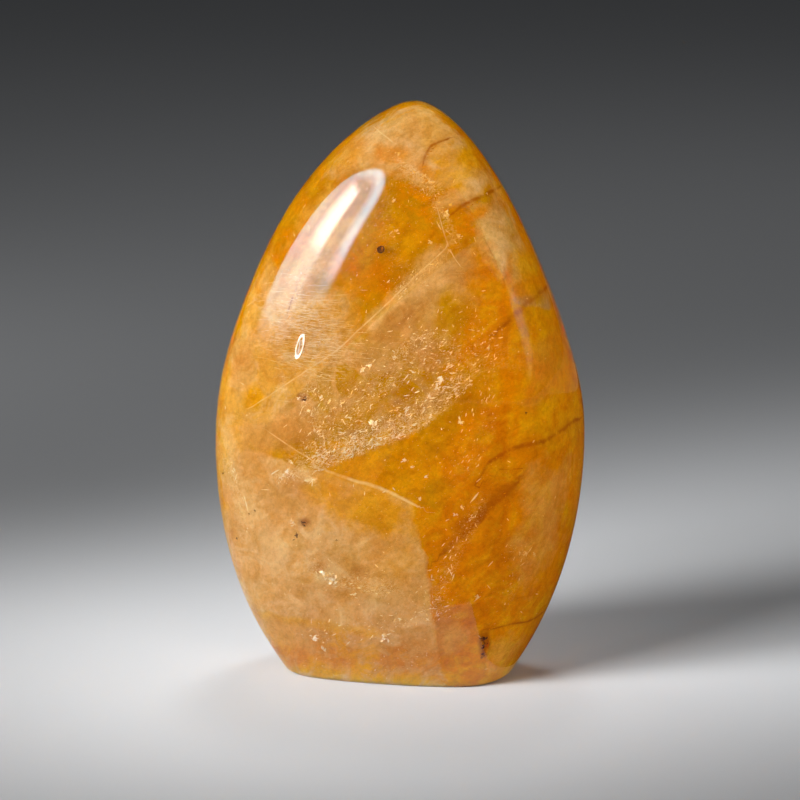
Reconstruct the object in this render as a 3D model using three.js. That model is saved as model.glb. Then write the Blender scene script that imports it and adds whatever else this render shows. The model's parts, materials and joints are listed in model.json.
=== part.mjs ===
// A polished freeform of golden quartz: one solid stone that stands on a sawn base.
//
// The stone was ground by hand as a few broad faces. Each face is a shallow dome that
// looks out to one side, and the polish rounds the edge between one dome and the next.
// Millimetres, +Z up. The origin is the middle of the base, the long way lies along X
// and the broad front looks towards -Y.

import * as THREE from "three";
import { mergeVertices } from "three/addons/utils/BufferGeometryUtils.js";

// Each ground face, once around the stone:
//   bearing  the way that the face looks, in degrees from +X towards +Y
//   reach    how far out it lies from the stone's axis, at its belly
//   belly    the height at which it lies furthest out
//   rise     the radius of its curve from the base up to the tip
//   wrap     the radius of its curve around the stone
const GROUND_FACES = [
  { bearing: 14, reach: 49.0, belly: 63, rise: 106, wrap: 30 },
  { bearing: -36, reach: 41.4, belly: 57.5, rise: 128, wrap: 60 },
  { bearing: -92, reach: 25.2, belly: 58, rise: 183, wrap: 96 },
  { bearing: -148, reach: 47.0, belly: 52, rise: 105, wrap: 45 },
  { bearing: 178, reach: 50.5, belly: 62, rise: 96.5, wrap: 26 },
  { bearing: 140, reach: 45.3, belly: 57, rise: 113, wrap: 40 },
  { bearing: 88, reach: 28.5, belly: 57, rise: 173, wrap: 76 },
  { bearing: 40, reach: 50.5, belly: 61, rise: 111, wrap: 40 },
];

// The blunt tip is one more dome, which looks straight up.
const TIP_HEIGHT = 142;
const TIP_RADIUS = 14.4;

const EDGE_SOFTNESS = 2.4; // how far the polish rounds the edge between two domes
const BASE_BEVEL = 0.7; // the sawn base's edge, taken off by hand

// The stone's rough half sizes, which only spread the mesh evenly around it.
const HALF_WIDTH = 44;
const HALF_DEPTH = 27;

const SIDE_DIVISIONS = 22; // mesh columns on each of the four sides
const ROWS = 28; // mesh rows from the base up to the cap
const ROW_CROWDING = 1.25; // radians: 0 spaces the rows evenly, more crowds the upper ones
const CAP_HEIGHT = 134; // where the rows end and the cap over the tip starts
const CAP_CENTRE = 110; // the height on the axis that the cap is spread from

const SEARCH_REACH = 120; // longer than any way from the axis to the surface
const SEARCH_STEPS = 40;

const STONE_COLOUR = 0xd9a04a;
const STONE_ROUGHNESS = 0.08;

// How far outside one ground face a point lies. It is negative inside the face.
function outsideFace(point, face) {
  const bearing = THREE.MathUtils.degToRad(face.bearing);
  const out = point.x * Math.cos(bearing) + point.y * Math.sin(bearing);
  const across = point.y * Math.cos(bearing) - point.x * Math.sin(bearing);
  const fromBelly = point.z - face.belly;
  const leanIn = face.rise - Math.sqrt(face.rise ** 2 - fromBelly ** 2);
  return out + across ** 2 / (2 * face.wrap) + leanIn - face.reach;
}

function outsideTip(point) {
  return point.z - TIP_HEIGHT + (point.x ** 2 + point.y ** 2) / (2 * TIP_RADIUS);
}

// How far outside the whole stone a point lies: a maximum over all of the domes that
// turns softly from one to the next.
function outsideStone(point) {
  const depths = GROUND_FACES.map((face) => outsideFace(point, face));
  depths.push(outsideTip(point));
  const deepest = Math.max(...depths);
  let sum = 0;
  for (const depth of depths) {
    sum += Math.exp((depth - deepest) / EDGE_SOFTNESS);
  }
  return deepest + EDGE_SOFTNESS * Math.log(sum);
}

// The point where a straight line from inside the stone reaches its surface.
function surfaceAlong(start, direction) {
  const way = direction.clone().normalize();
  let inside = 0;
  let outside = SEARCH_REACH;
  for (let step = 0; step < SEARCH_STEPS; step += 1) {
    const middle = (inside + outside) / 2;
    const isInside = outsideStone(start.clone().addScaledVector(way, middle)) < 0;
    inside = isInside ? middle : inside;
    outside = isInside ? outside : middle;
  }
  return start.clone().addScaledVector(way, inside);
}

// The direction, seen from above, that a place on the rim of a square stands for. Equal
// steps along the square's sides turn by equal angles.
function rimDirection(x, y) {
  const eighthTurn = Math.PI / 4;
  let turn;
  if (Math.abs(x) >= Math.abs(y)) {
    turn = (x > 0 ? 0 : Math.PI) + (eighthTurn * y) / x;
  } else {
    turn = Math.sign(y) * 2 * eighthTurn - (eighthTurn * x) / y;
  }
  return new THREE.Vector3(HALF_WIDTH * Math.cos(turn), HALF_DEPTH * Math.sin(turn), 0);
}

function sidePoint(direction, height) {
  return surfaceAlong(new THREE.Vector3(0, 0, height), direction);
}

// The edge of the base, drawn in by the width of the bevel.
function baseRimPoint(direction) {
  const edge = sidePoint(direction, 0);
  return edge.setLength(edge.length() - BASE_BEVEL);
}

// The rows draw closer together towards the tip, where the stone leans in fastest.
function rowHeight(row) {
  const share = (row - 1) / (ROWS - 1);
  const risen = Math.sin(share * ROW_CROWDING) / Math.sin(ROW_CROWDING);
  return BASE_BEVEL + risen * (CAP_HEIGHT - BASE_BEVEL);
}

// The cap is spread from a point on the axis: its middle lies over that point, and its
// rim is the uppermost row.
function capPoint(direction, fromMiddle) {
  const centre = new THREE.Vector3(0, 0, CAP_CENTRE);
  const overCentre = new THREE.Vector3(0, 0, TIP_HEIGHT);
  const aim = overCentre.lerp(sidePoint(direction, CAP_HEIGHT), fromMiddle);
  return surfaceAlong(centre, aim.sub(centre));
}

// Moves one vertex of the starting box, which runs from -1 to 1 each way, to its place
// on the stone: the box's upright sides become the rows, its top the cap and its bottom
// the sawn base.
function placeOnStone(corner) {
  const fromMiddle = Math.max(Math.abs(corner.x), Math.abs(corner.y));
  const row = Math.round(((corner.z + 1) / 2) * ROWS);
  const direction = fromMiddle > 0 ? rimDirection(corner.x, corner.y) : new THREE.Vector3(1, 0, 0);
  if (row === 0) {
    return baseRimPoint(direction).multiplyScalar(fromMiddle);
  }
  if (row === ROWS && fromMiddle < 1) {
    return capPoint(direction, fromMiddle);
  }
  return sidePoint(direction, rowHeight(row));
}

function makeStoneGeometry() {
  const box = new THREE.BoxGeometry(2, 2, 2, SIDE_DIVISIONS, SIDE_DIVISIONS, ROWS);
  box.deleteAttribute("normal");
  box.deleteAttribute("uv");
  const geometry = mergeVertices(box);
  const position = geometry.getAttribute("position");
  const corner = new THREE.Vector3();
  for (let index = 0; index < position.count; index += 1) {
    const placed = placeOnStone(corner.fromBufferAttribute(position, index));
    position.setXYZ(index, placed.x, placed.y, placed.z);
  }
  geometry.computeBoundingBox();
  const middle = geometry.boundingBox.getCenter(new THREE.Vector3());
  geometry.translate(-middle.x, -middle.y, 0);
  geometry.computeVertexNormals();
  return geometry;
}

const stoneMaterial = new THREE.MeshStandardMaterial({
  color: STONE_COLOUR,
  roughness: STONE_ROUGHNESS,
  metalness: 0,
});

const stone = new THREE.Mesh(makeStoneGeometry(), stoneMaterial);
stone.name = "freeform";

const group = new THREE.Group();
group.add(stone);

export default group;
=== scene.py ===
import json
import math
import random
from contextlib import contextmanager

import bpy
from bpy.props import FloatProperty, FloatVectorProperty, PointerProperty
from mathutils import Matrix, Vector

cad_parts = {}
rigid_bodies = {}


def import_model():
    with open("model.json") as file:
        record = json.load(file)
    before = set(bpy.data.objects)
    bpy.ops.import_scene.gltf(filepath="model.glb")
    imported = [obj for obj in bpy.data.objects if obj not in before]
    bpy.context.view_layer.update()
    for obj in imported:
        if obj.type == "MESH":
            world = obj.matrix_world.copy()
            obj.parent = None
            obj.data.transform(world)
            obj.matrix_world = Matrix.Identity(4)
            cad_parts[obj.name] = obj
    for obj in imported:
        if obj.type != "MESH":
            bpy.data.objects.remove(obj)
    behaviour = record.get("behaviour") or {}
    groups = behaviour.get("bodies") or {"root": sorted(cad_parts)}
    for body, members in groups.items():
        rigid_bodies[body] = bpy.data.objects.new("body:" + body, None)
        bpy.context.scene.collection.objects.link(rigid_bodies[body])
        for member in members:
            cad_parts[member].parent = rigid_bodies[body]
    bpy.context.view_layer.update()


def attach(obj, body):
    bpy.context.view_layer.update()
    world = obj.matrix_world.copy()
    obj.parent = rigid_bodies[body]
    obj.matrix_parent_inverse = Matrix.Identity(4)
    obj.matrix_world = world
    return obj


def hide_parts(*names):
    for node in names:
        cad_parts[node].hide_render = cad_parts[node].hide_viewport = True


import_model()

bl_info = {
    "name": "Golden quartz freeform",
    "version": (1, 0, 0),
    "blender": (4, 5, 0),
    "location": "3D View > Sidebar > Quartz",
    "description": "Builds a polished freeform of golden quartz and what is sealed inside it",
    "category": "Add Mesh",
}

STONE_NODE = "freeform"
BODY = "root"
MM = 0.001

# The stone's broad front looks along -Y. Places on it are given as it is seen by
# somebody who stands a little to its right: how far across from its axis, and how high.
VIEW_TURN = math.radians(12)
ACROSS = Vector((math.cos(VIEW_TURN), math.sin(VIEW_TURN), 0))
INTO = Vector((-math.sin(VIEW_TURN), math.cos(VIEW_TURN), 0))
UP = Vector((0, 0, 1))
OUTSIDE = 0.2  # metres, well clear of the stone
CRISP_FOOT = 1 * MM  # the height of the bevel round the sawn base


# ---------------------------------------------------------------- settings


def colour_setting(name, description, default):
    return FloatVectorProperty(name=name, description=description, default=default, subtype="COLOR")


def length_setting(name, description, default):
    return FloatProperty(name=name, description=description, default=default, unit="LENGTH")


def angle_setting(name, description, degrees):
    default = math.radians(degrees)
    return FloatProperty(name=name, description=description, default=default, subtype="ANGLE")


class QuartzSettings(bpy.types.PropertyGroup):
    ior: FloatProperty(
        name="Index of refraction",
        description="How strongly the quartz bends light",
        default=1.544,
        min=1.0,
        max=2.5,
    )
    roughness: FloatProperty(
        name="Polish roughness",
        description="0 is a perfect polish",
        default=0.04,
        min=0.0,
        max=1.0,
    )
    tint: colour_setting(
        "Depth tint", "The colour that the clear quartz takes on with depth", (0.94, 0.76, 0.1)
    )
    tint_density: FloatProperty(
        name="Tint density",
        description="How quickly the clear quartz takes on its tint, per metre",
        default=170.0,
        min=0.0,
    )


class CloudSettings(bpy.types.PropertyGroup):
    clear_layer: length_setting(
        "Clear layer", "The least depth of clear quartz over the clouds", 0.1 * MM
    )
    swell: length_setting("Swell", "How far the broad hollows of the clouds go in", 1.3 * MM)
    ripple: length_setting("Ripple", "How far the small hollows of the clouds go in", 0.6 * MM)
    glow: length_setting("Glow", "How far light spreads inside the clouds", 8.0 * MM)
    milky: colour_setting("Milky", "The palest cloud", (0.95, 0.76, 0.585))
    tan: colour_setting("Tan", "The greyish tan cloud", (0.89, 0.62, 0.34))
    honey: colour_setting("Honey", "The pale yellow cloud", (0.91, 0.62, 0.20))
    clay: colour_setting("Clay", "The darker tan cloud", (0.74, 0.48, 0.22))
    ochre: colour_setting("Ochre", "The duller yellow cloud", (0.71, 0.43, 0.012))
    golden: colour_setting("Golden", "The deep yellow cloud", (0.91, 0.56, 0.012))
    yellow: colour_setting("Yellow", "The brightest yellow patches", (0.94, 0.58, 0.003))
    amber: colour_setting("Amber", "The orange cloud", (0.87, 0.42, 0.004))
    rose: colour_setting("Rose", "The pinkish brown cloud", (0.83, 0.43, 0.09))
    haze: colour_setting("Haze", "The pale veils near the polish", (1.0, 0.87, 0.72))
    rust: colour_setting("Rust", "The iron that stains the fractures", (0.45, 0.14, 0.006))


class StageSettings(bpy.types.PropertyGroup):
    camera_distance: length_setting(
        "Camera distance", "From the middle of the stone to the camera", 914 * MM
    )
    camera_rise: angle_setting("Camera elevation", "How far the camera looks down", 11)
    camera_angle: angle_setting("Camera angle", "How wide the camera sees", 12.1)


class FreeformSettings(bpy.types.PropertyGroup):
    quartz: PointerProperty(type=QuartzSettings)
    cloud: PointerProperty(type=CloudSettings)
    stage: PointerProperty(type=StageSettings)


def settings():
    return bpy.context.scene.freeform


# ---------------------------------------------------------------- modelling helpers


def select_only(*pieces):
    bpy.ops.object.select_all(action="DESELECT")
    for piece in pieces:
        piece.select_set(True)
    bpy.context.view_layer.objects.active = pieces[0]


@contextmanager
def editing(piece):
    select_only(piece)
    bpy.ops.object.mode_set(mode="EDIT")
    bpy.ops.mesh.select_all(action="SELECT")
    yield
    bpy.ops.object.mode_set(mode="OBJECT")


def apply_modifier(piece, kind, **values):
    select_only(piece)
    modifier = piece.modifiers.new(kind.lower(), kind)
    for key, value in values.items():
        setattr(modifier, key, value)
    bpy.ops.object.modifier_apply(modifier=modifier.name)


def apply_subdivision(piece, levels):
    apply_modifier(piece, "SUBSURF", levels=levels, render_levels=levels)


def shade_smooth(piece, angle):
    """Shades a piece smooth, apart from edges that are sharper than an angle in degrees."""
    select_only(piece)
    bpy.ops.object.shade_smooth_by_angle(angle=math.radians(angle))


def own_copy(piece, name):
    twin = piece.copy()
    twin.data = piece.data.copy()
    twin.name = name
    twin.data.name = name
    bpy.context.scene.collection.objects.link(twin)
    return twin


def keep_foot_crisp(piece):
    """Creases the level edges round the foot, which a subdivision then keeps."""
    corners = piece.data.vertices
    creases = piece.data.attributes.new("crease_edge", "FLOAT", "EDGE").data
    for edge, crease in zip(piece.data.edges, creases):
        first, second = (corners[index].co.z for index in edge.vertices)
        if max(first, second) < CRISP_FOOT and abs(first - second) < 0.1 * MM:
            crease.value = 0.6


def copy_of_stone(name):
    """A merged copy of the CAD stone, with its triangles paired into quads."""
    node = bpy.data.objects[STONE_NODE]
    twin = own_copy(node, name)
    twin.parent = None
    twin.matrix_world = Matrix.Identity(4)
    twin.hide_viewport = False
    twin.hide_render = False
    twin.hide_set(False)
    with editing(twin):
        bpy.ops.mesh.remove_doubles(threshold=0.001 * MM)
        bpy.ops.mesh.tris_convert_to_quads(
            face_threshold=math.radians(60), shape_threshold=math.radians(60)
        )
    keep_foot_crisp(twin)
    return twin


def seal_in(piece, material):
    """Gives a piece its material, and fixes it to the stone's body."""
    piece.data.materials.clear()
    piece.data.materials.append(material)
    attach(piece, BODY)


# ---------------------------------------------------------------- places in the stone


def surface_along(start, heading):
    """Where a line meets the polish, and the way in from there, or None."""
    hit, point, normal, _ = bpy.data.objects["stone"].ray_cast(start, heading)
    return (point, -normal) if hit else None


def surface_behind(place):
    """Where a place on the front, in millimetres across and up, meets the polish."""
    across, height = place
    return surface_along((ACROSS * across + UP * height) * MM - INTO * OUTSIDE, INTO)


def surface_at(place):
    """The point of the polished front at a place, and the way in from there."""
    found = surface_behind(place)
    if found is None:
        raise RuntimeError(f"no surface at {place}")
    return found


def smooth_path(places, share):
    """A place on the smooth line through some places, at a share of its length."""
    last = len(places) - 1
    step = min(int(share * last), last - 1)
    part = share * last - step
    before = Vector(places[max(step - 1, 0)])
    first, second = Vector(places[step]), Vector(places[step + 1])
    after = Vector(places[min(step + 2, last)])
    pull = (second - before) / 2
    push = (after - first) / 2
    return (
        first * (2 * part**3 - 3 * part**2 + 1)
        + pull * (part**3 - 2 * part**2 + part)
        + second * (3 * part**2 - 2 * part**3)
        + push * (part**3 - part**2)
    )


# ---------------------------------------------------------------- material helpers

WHITE = (1.0, 1.0, 1.0)


def new_material(name):
    material = bpy.data.materials.new(name)
    material.use_nodes = True
    return material, material.node_tree


def shader_inputs(tree):
    return tree.nodes["Principled BSDF"].inputs


def cloud_colour(name):
    return tuple(getattr(settings().cloud, name))


def add_node(tree, kind, **inputs):
    node = tree.nodes.new(kind)
    for key, value in inputs.items():
        node.inputs[key].default_value = value
    return node


def mapped_place(tree, kind, **inputs):
    """The point's place in the piece, put through a Mapping node of a kind."""
    place = tree.nodes.new("ShaderNodeTexCoord")
    mapping = add_node(tree, "ShaderNodeMapping", **inputs)
    mapping.vector_type = kind
    tree.links.new(place.outputs["Object"], mapping.inputs["Vector"])
    return mapping.outputs["Vector"]


def own_place(tree, turn=(0, 0, 0), scale=(1, 1, 1)):
    """The point's place in the piece, turned and stretched."""
    return mapped_place(tree, "POINT", Rotation=turn, Scale=scale)


def front_place(tree, slope, long_size, short_size=1.0, middle=(0, 0)):
    """The point's place on the front, from a middle, along a slope and over some sizes."""
    across, height = middle
    return mapped_place(
        tree,
        "TEXTURE",
        Location=(ACROSS * across + UP * height) * MM,
        Rotation=(0, -math.radians(slope), VIEW_TURN),
        Scale=(long_size, 1.0, short_size),
    )


def stored_value(tree, name):
    """The number that the mesh stores under a name at each vertex."""
    node = tree.nodes.new("ShaderNodeAttribute")
    node.attribute_name = name
    return node.outputs["Fac"]


def noise(tree, vector, scale, detail=4.0, roughness=0.5, distortion=0.0):
    node = add_node(
        tree,
        "ShaderNodeTexNoise",
        Scale=scale,
        Detail=detail,
        Roughness=roughness,
        Distortion=distortion,
    )
    tree.links.new(vector, node.inputs["Vector"])
    return node.outputs["Fac"]


def feed(tree, socket, value):
    """Gives a socket its value: another socket, a number or a colour."""
    if isinstance(value, bpy.types.NodeSocket):
        tree.links.new(value, socket)
    elif isinstance(value, (int, float)):
        socket.default_value = value
    else:
        socket.default_value = (*value, 1.0)


def set_finish(tree, colour, roughness, gloss=0.5):
    inputs = shader_inputs(tree)
    feed(tree, inputs["Base Color"], colour)
    inputs["Roughness"].default_value = roughness
    inputs["Specular IOR Level"].default_value = gloss


def calculate(tree, operation, *values):
    """A Math node, fed by sockets and numbers."""
    node = tree.nodes.new("ShaderNodeMath")
    node.operation = operation
    for socket, value in zip(node.inputs, values):
        feed(tree, socket, value)
    return node.outputs["Value"]


def product(tree, *factors):
    result, *others = factors
    for factor in others:
        result = calculate(tree, "MULTIPLY", result, factor)
    return result


def distance_from(tree, place, upward, through=Vector()):
    """How far a place is from a plane, on its upward side."""
    node = tree.nodes.new("ShaderNodeVectorMath")
    node.operation = "DOT_PRODUCT"
    node.inputs[1].default_value = upward
    tree.links.new(place, node.inputs[0])
    return calculate(tree, "SUBTRACT", node.outputs["Value"], through.dot(upward))


def ramp(tree, value, *stops):
    """A colour ramp through stops of (position, colour)."""
    node = tree.nodes.new("ShaderNodeValToRGB")
    elements = node.color_ramp.elements
    while len(elements) < len(stops):
        elements.new(1.0)
    for element, (position, colour) in zip(elements, stops):
        element.position = position
        element.color = (*colour, 1.0)
    tree.links.new(value, node.inputs["Fac"])
    return node.outputs["Color"]


def mask(tree, value, low, high, full=1.0):
    """0 below low, full above high and straight between."""
    node = tree.nodes.new("ShaderNodeMapRange")
    node.inputs["From Min"].default_value = low
    node.inputs["From Max"].default_value = high
    node.inputs["To Max"].default_value = full
    tree.links.new(value, node.inputs["Value"])
    return node.outputs["Result"]


def mix(tree, factor, first, second, blend="MIX"):
    node = tree.nodes.new("ShaderNodeMix")
    node.data_type = "RGBA"
    node.blend_type = blend
    for socket, value in ((0, factor), (6, first), (7, second)):
        feed(tree, node.inputs[socket], value)
    return node.outputs[2]


def shaded(tree, colour, *shades):
    """The colour, darkened by each of some shades."""
    for shade in shades:
        colour = mix(tree, 1.0, colour, shade, "MULTIPLY")
    return colour


# ---------------------------------------------------------------- the stone


def quartz_material():
    values = settings().quartz
    material, tree = new_material("clear_quartz")
    inputs = shader_inputs(tree)
    inputs["Base Color"].default_value = (*WHITE, 1.0)
    inputs["Roughness"].default_value = values.roughness
    inputs["IOR"].default_value = values.ior
    inputs["Transmission Weight"].default_value = 1.0
    absorption = tree.nodes.new("ShaderNodeVolumeAbsorption")
    absorption.inputs["Color"].default_value = (*values.tint, 1.0)
    absorption.inputs["Density"].default_value = values.tint_density
    output = tree.nodes["Material Output"]
    tree.links.new(absorption.outputs["Volume"], output.inputs["Volume"])
    return material


class QUARTZ_OT_stone(bpy.types.Operator):
    """The polished stone itself, smooth and clear"""

    bl_idname = "quartz.stone"
    bl_label = "Polished stone"

    def execute(self, context):
        stone = copy_of_stone("stone")
        apply_subdivision(stone, 2)
        shade_smooth(stone, 40)
        seal_in(stone, quartz_material())
        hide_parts(STONE_NODE)
        return {"FINISHED"}


# ---------------------------------------------------------------- fractures and zones


class Fracture:
    """An old crack that crosses the stone as a plane.

    It passes through a place on the front, in millimetres across and up, along a line
    that slopes by some degrees, and it leans by some degrees as it goes in. Its upper
    side is on the left of a steep line that slopes up. The clouds on its two sides run
    into each other over the blur and stray from it by the wander, in millimetres.
    """

    def __init__(self, place, slope, lean, blur, wander):
        self.place = place
        self.slope = math.radians(slope)
        self.lean = math.radians(lean)
        self.blur = blur * MM
        self.wander = wander * MM

    def through(self):
        return surface_at(self.place)[0]

    def upward(self):
        upper = UP * math.cos(self.slope) - ACROSS * math.sin(self.slope)
        return upper * math.cos(self.lean) + INTO * math.sin(self.lean)


FRACTURES = {
    "tip": Fracture((-4, 124), -10, 20, 5, 5),
    "hook": Fracture((7, 126), 62, 10, 4, 3),
    "window": Fracture((21.3, 107), -66, 14, 0.8, 2.0),
    "high": Fracture((-13, 84.5), 40.7, 24, 0.5, 0.3),
    "silk_top": Fracture((-22, 98), -8, 0, 7, 6),
    "silk_side": Fracture((-13, 86), 78, 0, 4, 4),
    "column_side": Fracture((10, 64), 82.6, 10, 7, 6),
    "grey": Fracture((-2, 78), 33, 10, 6, 4),
    "spark": Fracture((-4, 62.4), 26.2, -32, 1.2, 1.2),
    "wedge": Fracture((-9.7, 51.8), -18, 12, 1.0, 1.0),
    "amber": Fracture((6, 33.4), -77.5, 16, 1.2, 2.0),
    "low": Fracture((-20, 13), 2, -18, 3, 3),
    "ridge": Fracture((25.6, 70), 89.8, -8, 0.6, 0.4),
    "crack_high": Fracture((31, 93.8), 14, 22, 0.8, 1.0),
    "crack_low": Fracture((30.7, 60.8), 19.6, 20, 0.8, 1.2),
    "foot": Fracture((27, 15.4), 5, -14, 0.8, 0.8),
    "foot_side": Fracture((20.8, 8), 77, 10, 0.6, 0.6),
}

# The fractures part the clouds into zones, one after another. Each entry names a
# fracture, then what lies on its upper side and what lies on its lower side.
UPPER_LEFT = ("silk_top", "honeycomb", ("silk_side", "silk", "honeycomb"))
LOWER_LEFT = (
    "amber",
    ("foot", "column", ("foot_side", "column", "facet")),
    ("low", "milk", "sole"),
)
MIDDLE = (
    "spark",
    ("column_side", ("grey", "grey", "spark"), "column"),
    ("wedge", ("column_side", "wedge", "column"), LOWER_LEFT),
)
RIGHT_SIDE = (
    "crack_high",
    ("window", "window", "temple"),
    ("crack_low", "temple", ("foot", "flank", "facet")),
)
ZONE_PLAN = (
    "tip",
    ("hook", "crown", "crown_side"),
    ("ridge", ("window", "window", ("high", UPPER_LEFT, MIDDLE)), RIGHT_SIDE),
)

# Each zone has the depth of its cloud under the clear layer in millimetres, how dense
# the veils over it are, and the cloud's three colours: deep, common and in its veins.
ZONES = {
    "crown": (1.2, 0.7, "tan", "tan", "milky"),
    "crown_side": (1.4, 0.1, "golden", "honey", "tan"),
    "window": (1.2, 0.4, "ochre", "clay", "tan"),
    "silk": (1.4, 0.9, "honey", "honey", "milky"),
    "honeycomb": (2.2, 0.0, "amber", "ochre", "ochre"),
    "grey": (1.4, 0.6, "ochre", "clay", "tan"),
    "spark": (1.6, 0.1, "ochre", "ochre", "clay"),
    "wedge": (2.2, 0.0, "ochre", "golden", "yellow"),
    "column": (2.0, 0.0, "amber", "amber", "golden"),
    "milk": (1.2, 0.7, "tan", "tan", "milky"),
    "sole": (1.3, 0.3, "golden", "rose", "tan"),
    "temple": (1.6, 0.0, "amber", "golden", "golden"),
    "flank": (1.5, 0.0, "amber", "amber", "golden"),
    "facet": (1.2, 0.0, "amber", "amber", "golden"),
}
DEPTH, DENSITY = 0, 1  # their columns in ZONES

# Patches of cloud on the front: the middle of each in millimetres across and up, its
# long and short radius, the slope of its long side, its colour and how strong it is.
PATCHES = {
    "crown_milk": ((-6.6, 131.5), (6.0, 3.4), -38, "milky", 0.9),
    "crown_left": ((-12.0, 127.0), (5.0, 2.4), 50, "golden", 0.6),
    "crown_glow": ((8.3, 133.0), (6.0, 3.0), -55, "honey", 0.5),
    "crown_yellow": ((15.4, 126.6), (3.6, 2.6), -60, "yellow", 0.9),
    "crown_pink": ((16.0, 119.3), (5.0, 2.3), 25, "milky", 0.8),
    "gold_left": ((-1.9, 128.0), (3.6, 1.6), 10, "amber", 0.7),
    "gold_right": ((6.6, 123.5), (3.2, 2.0), -50, "amber", 0.7),
    # under_shine is partly painted highlight: it lays an even, paler honey where the key lamp's
    # reflection falls, and so brightens the highlight.
    "under_shine": ((-19.0, 106.0), (14.0, 5.0), 60, "honey", 0.8),
    "band_gold": ((14.5, 73.0), (8.0, 4.0), 55, "ochre", 0.7),
    "comb_high": ((-0.5, 111.5), (2.6, 2.0), 20, "golden", 0.6),
    "comb_middle": ((2.8, 107.8), (3.8, 1.8), 55, "golden", 0.7),
    "comb_low": ((-1.2, 104.2), (2.6, 1.6), 30, "golden", 0.6),
    "comb_deep": ((-7.1, 98.7), (8.0, 3.0), 20, "amber", 0.6),
    "window_milk": ((22.0, 108.0), (9.0, 3.6), -62, "milky", 0.75),
    "window_gold": ((30.0, 100.0), (9.0, 3.0), -62, "golden", 0.9),
    "window_tip": ((17.5, 114.5), (3.5, 1.6), 30, "amber", 0.9),
    "ridge": ((24.6, 90.0), (13.0, 1.1), 88, "amber", 0.9),
    "grey_milk": ((7.5, 100.3), (7.0, 4.0), 38, "milky", 0.6),
    "grey_tan": ((0.0, 88.6), (10.0, 3.5), 35, "clay", 0.5),
    "grey_gold": ((12.0, 91.0), (7.0, 3.0), 50, "ochre", 0.8),
    "film_side": ((-2.0, 94.0), (17.0, 1.5), 45, "milky", 0.4),
    "window_foot": ((30.5, 97.2), (6.5, 2.4), 5, "amber", 0.8),
    "temple_tan": ((34.3, 78.4), (8.0, 3.5), 80, "rose", 0.5),
    "left_honey": ((-29.5, 61.5), (8.0, 4.0), 20, "tan", 0.8),
    "left_rim": ((-37.0, 79.0), (13.0, 2.6), 97, "tan", 0.8),
    "left_rim_high": ((-32.6, 100.5), (9.0, 2.6), 68, "tan", 0.8),
    "left_yellow": ((-34.4, 69.2), (3.6, 2.0), 60, "yellow", 0.9),
    "left_milk": ((-39.2, 54.3), (7.0, 1.3), 100, "milky", 0.6),
    "wedge_gold": ((-9.0, 55.0), (11.0, 3.0), -15, "golden", 0.5),
    "column_glow": ((9.4, 65.4), (7.0, 4.0), 60, "ochre", 0.5),
    "column_shade": ((24.0, 40.0), (20.0, 3.0), 90, "rust", 0.2),
    "column_high": ((21.0, 64.0), (6.0, 4.0), 90, "rust", 0.12),
    "column_rust": ((19.5, 45.3), (9.0, 1.5), 40, "rust", 0.5),
    "milk_white": ((-16.8, 27.4), (3.6, 1.6), 20, "haze", 0.6),
    "milk_patch": ((-14.0, 36.0), (7.0, 3.0), 30, "milky", 0.5),
    "milk_deep": ((-8.0, 45.5), (13.0, 5.5), -14, "golden", 0.9),
    "milk_deep_left": ((-27.5, 45.0), (5.0, 4.0), 0, "clay", 0.7),
    "milk_amber": ((-1.0, 31.0), (5.0, 4.0), 60, "golden", 0.3),
    "milk_left": ((-31.0, 34.0), (8.0, 3.5), 100, "milky", 0.6),
    "milk_foot": ((-22.0, 20.0), (8.0, 2.0), 35, "milky", 0.5),
    "milk_brown": ((-9.1, 29.6), (2.6, 1.9), 0, "rust", 0.3),
    "milk_brown_left": ((-19.2, 29.2), (2.2, 1.5), 0, "rust", 0.3),
    "milk_low": ((-1.2, 22.9), (7.0, 2.6), 20, "milky", 0.6),
    "low_gold": ((-20.0, 14.6), (14.0, 1.2), -3, "golden", 0.6),
    "sole_milk": ((9.6, 12.9), (6.0, 4.0), 25, "tan", 0.6),
    "sole_left": ((-27.0, 11.5), (9.0, 3.0), -8, "tan", 0.8),
    "flank_tan": ((33.0, 42.0), (12.0, 5.0), 80, "tan", 0.4),
    "facet_tan": ((24.1, 8.7), (5.0, 3.0), 60, "tan", 0.3),
    "foot_rust": ((19.9, 11.5), (3.8, 1.2), 85, "rust", 0.8),
    "speck_rust": ((-22.6, 40.8), (1.6, 1.2), 0, "rust", 0.7),
    "speck_rust_high": ((-22.8, 71.2), (1.5, 1.1), 0, "rust", 0.7),
}

# Lines on the front where a fracture comes up to the polish: the half width of each in
# millimetres, and its places across and up. The open ones are pale with trapped air.
FILMS = {
    "high": (
        0.20,
        ((12, 107.5), (9.2, 105.4), (-9.2, 87.8), (-14.6, 82.8), (-27.1, 73.5), (-35.9, 66.6)),
    ),
    "steep": (0.14, ((8.7, 116.5), (10.4, 110.5), (12.0, 106.3), (14.5, 102.6))),
    "wedge": (0.44, ((-20.7, 54.6), (-9.7, 51.8), (-2.1, 49.5), (4.9, 46.0))),
    "crown": (0.24, ((-9.8, 134.5), (-5.0, 132.6), (-0.7, 130.2))),
    "low": (0.18, ((-31.0, 62.0), (-24.0, 58.0), (-17.0, 54.0))),
}
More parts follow.
